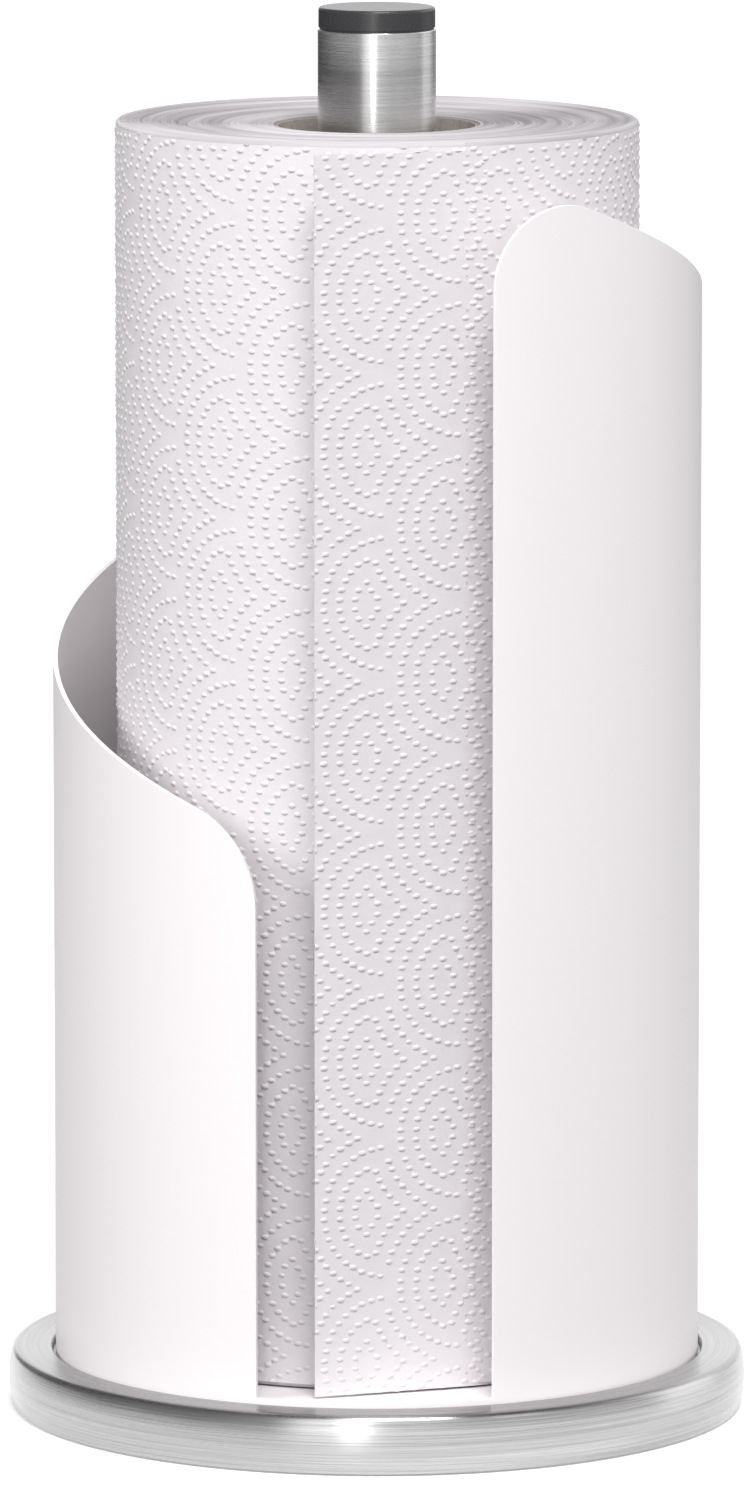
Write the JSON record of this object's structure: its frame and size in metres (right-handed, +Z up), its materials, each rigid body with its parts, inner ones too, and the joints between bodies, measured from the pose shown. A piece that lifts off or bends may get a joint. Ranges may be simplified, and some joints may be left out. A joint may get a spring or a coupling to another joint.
{
  "type": "paper towel holder",
  "caption": "Counter-top paper towel holder: weighted round steel base, open-fronted white sleeve with a sloping top edge, capped steel post and a lift-off kitchen roll.",
  "frame": {"origin": "centre of the base's underside, on the counter", "axes": "+Z up along the post, +X to the holder's right, the opening faces -Y"},
  "size_m": [0.1578, 0.1578, 0.3],
  "materials": {
    "brushed_steel": "brushed round the axis",
    "plain_steel": "cold-rolled, plain",
    "zinc_steel": "bright zinc plate",
    "cast_iron": "black lacquered casting",
    "white_paint": "satin powder coat on sheet steel",
    "black_rubber": "matt",
    "black_foam": "closed-cell foam",
    "white_nylon": "natural nylon",
    "grey_plastic": "satin moulded plastic",
    "cardboard": "grey-brown spiral-wound board",
    "paper": "soft embossed tissue"
  },
  "bodies": {
    "holder": {"base_shell": "brushed_steel", "ballast_disc": "cast_iron", "bottom_cover": "plain_steel", "cover_screws": "zinc_steel", "anti_slip_pad": "black_rubber", "seating_pad": "black_foam", "floor_disc": "white_paint", "floor_screws": "zinc_steel", "sleeve": "white_paint", "post_seat_washer": "white_nylon", "post_tube": "brushed_steel", "post_insert": "plain_steel", "post_bolt": "zinc_steel", "bolt_lock_washer": "zinc_steel", "bolt_washer": "zinc_steel", "post_cap": "grey_plastic"},
    "core_carrier": {"core_liner": "cardboard"},
    "roll": {"core_wrap": "cardboard", "paper_roll": "paper", "towel_end": "paper"}
  },
  "joints": [
    {"name": "roll_lift", "type": "slide", "parent": "holder", "child": "core_carrier", "axis": [0, 0, 1], "range_m": [0, 0.292]},
    {"name": "roll_spin", "type": "hinge", "parent": "core_carrier", "child": "roll", "pos_m": [0, 0, 0.0137], "axis": [0, 0, 1], "continuous": true}
  ]
}
